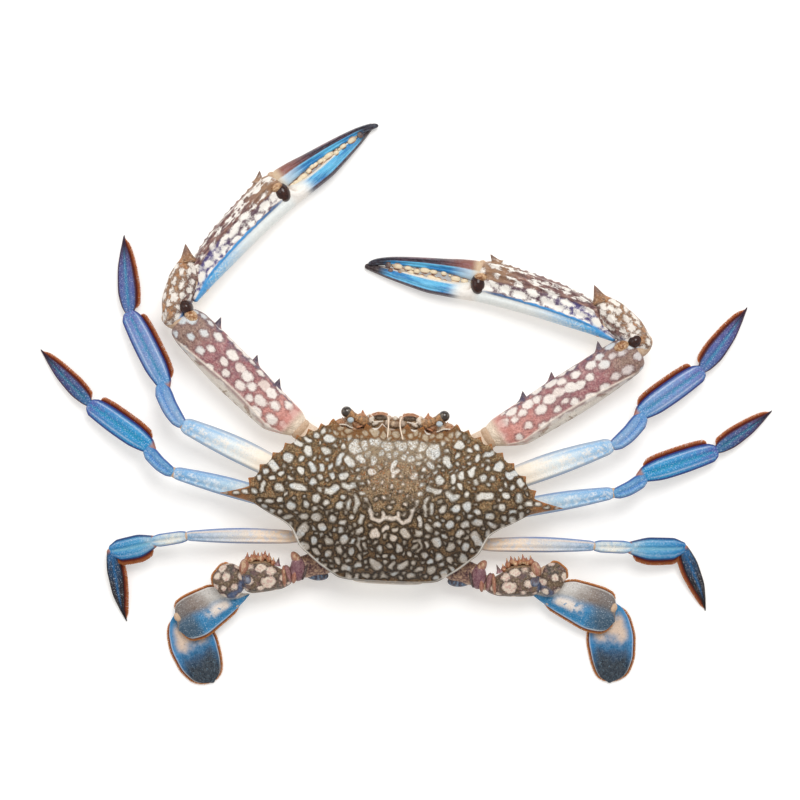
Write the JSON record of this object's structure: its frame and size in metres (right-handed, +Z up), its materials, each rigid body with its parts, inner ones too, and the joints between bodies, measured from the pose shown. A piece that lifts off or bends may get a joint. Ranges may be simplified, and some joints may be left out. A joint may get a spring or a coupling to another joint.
{
  "type": "blue swimming crab",
  "caption": "Life-size still model of a blue swimming crab, with claws reaching forward, walking legs spread and swimming paddles trailing.",
  "frame": {"origin": "on the flat underside of the folded abdomen, at floor level, below the middle of the body", "axes": "+X to the crab's right across its widest spread, +Y forwards past its mouth, +Z up"},
  "size_m": [0.3294, 0.2552, 0.0367],
  "materials": {
    "carapace_shell": "satin, brown with pale spots",
    "belly_shell": "satin, cream",
    "mouth_shell": "satin, brown and cream",
    "eye": "glossy, very dark brown",
    "feeler": "satin, pale pinkish cream",
    "coxa_shell": "satin, cream and mauve",
    "claw_shell": "satin, mauve brown with cream spots",
    "claw_finger": "satin, bright blue with dark edges",
    "leg_shell": "satin, cream to periwinkle blue",
    "leg_tip": "satin, violet blue with a dark tip",
    "swim_shell": "satin, brown with cream spots",
    "paddle_shell": "satin, blue, cream and slate",
    "joint_skin": "satin, pale cream",
    "hair": "matt, red-brown"
  },
  "bodies": {
    "root": {"carapace": "carapace_shell", "thorax": "belly_shell", "abdomen": "belly_shell", "mouth_frame": "mouth_shell", "maxilliped_left": "mouth_shell", "eye_left": "eye", "antenna_left": "feeler", "cheliped_left_coxa": "coxa_shell", "cheliped_left_merus": "claw_shell", "cheliped_left_carpus": "claw_shell", "cheliped_left_palm": "claw_shell", "cheliped_left_dactylus": "claw_finger", "leg1_left_coxa": "coxa_shell", "leg1_left_merus": "leg_shell", "leg1_left_carpus": "leg_shell", "leg1_left_propodus": "leg_shell", "leg1_left_dactylus": "leg_tip", "leg2_left_coxa": "coxa_shell", "leg2_left_merus": "leg_shell", "leg2_left_carpus": "leg_shell", "leg2_left_propodus": "leg_shell", "leg2_left_dactylus": "leg_tip", "leg3_left_coxa": "coxa_shell", "leg3_left_merus": "leg_shell", "leg3_left_carpus": "leg_shell", "leg3_left_propodus": "leg_shell", "leg3_left_dactylus": "leg_tip", "swimming_leg_left_coxa": "coxa_shell", "swimming_leg_left_merus": "swim_shell", "swimming_leg_left_carpus": "swim_shell", "swimming_leg_left_propodus": "paddle_shell", "swimming_leg_left_paddle": "paddle_shell", "maxilliped_right": "mouth_shell", "eye_right": "eye", "antenna_right": "feeler", "cheliped_right_coxa": "coxa_shell", "cheliped_right_merus": "claw_shell", "cheliped_right_carpus": "claw_shell", "cheliped_right_palm": "claw_shell", "cheliped_right_dactylus": "claw_finger", "leg1_right_coxa": "coxa_shell", "leg1_right_merus": "leg_shell", "leg1_right_carpus": "leg_shell", "leg1_right_propodus": "leg_shell", "leg1_right_dactylus": "leg_tip", "leg2_right_coxa": "coxa_shell", "leg2_right_merus": "leg_shell", "leg2_right_carpus": "leg_shell", "leg2_right_propodus": "leg_shell", "leg2_right_dactylus": "leg_tip", "leg3_right_coxa": "coxa_shell", "leg3_right_merus": "leg_shell", "leg3_right_carpus": "leg_shell", "leg3_right_propodus": "leg_shell", "leg3_right_dactylus": "leg_tip", "swimming_leg_right_coxa": "coxa_shell", "swimming_leg_right_merus": "swim_shell", "swimming_leg_right_carpus": "swim_shell", "swimming_leg_right_propodus": "paddle_shell", "swimming_leg_right_paddle": "paddle_shell"}
  },
  "joints": []
}
